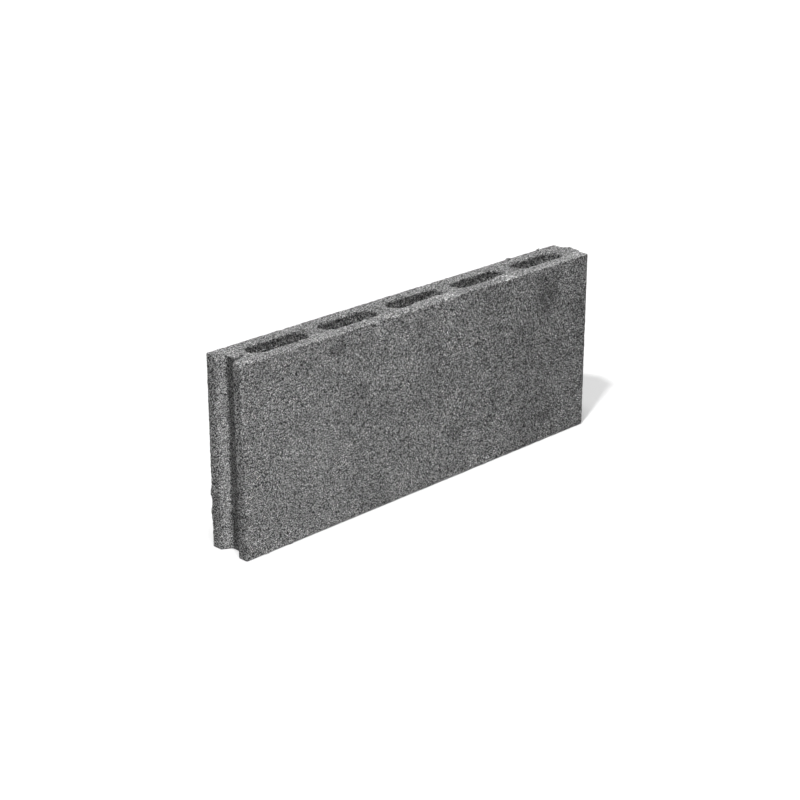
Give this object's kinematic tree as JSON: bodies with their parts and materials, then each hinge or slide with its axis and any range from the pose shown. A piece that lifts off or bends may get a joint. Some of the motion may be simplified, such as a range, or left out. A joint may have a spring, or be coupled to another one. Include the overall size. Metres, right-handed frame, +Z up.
{
  "type": "hollow concrete partition block",
  "caption": "Thin hollow concrete block for partition walls, with a row of blind cavities on top, a full-height groove in one end and a matching tongue on the other.",
  "frame": {"origin": "middle of the base of the bounding box, tongue included, on the bottom bed face", "axes": "+Z up, from the bottom bed to the open top of the cavities; +X along the block from the groove end to the tongue end; -Y is the front face and +Y the back face"},
  "size_m": [0.505, 0.05, 0.2],
  "materials": {
    "concrete": "dry pressed concrete, open-grained, with fine pits between the grains, matt"
  },
  "bodies": {
    "root": {"concrete_block": "concrete"}
  },
  "joints": []
}
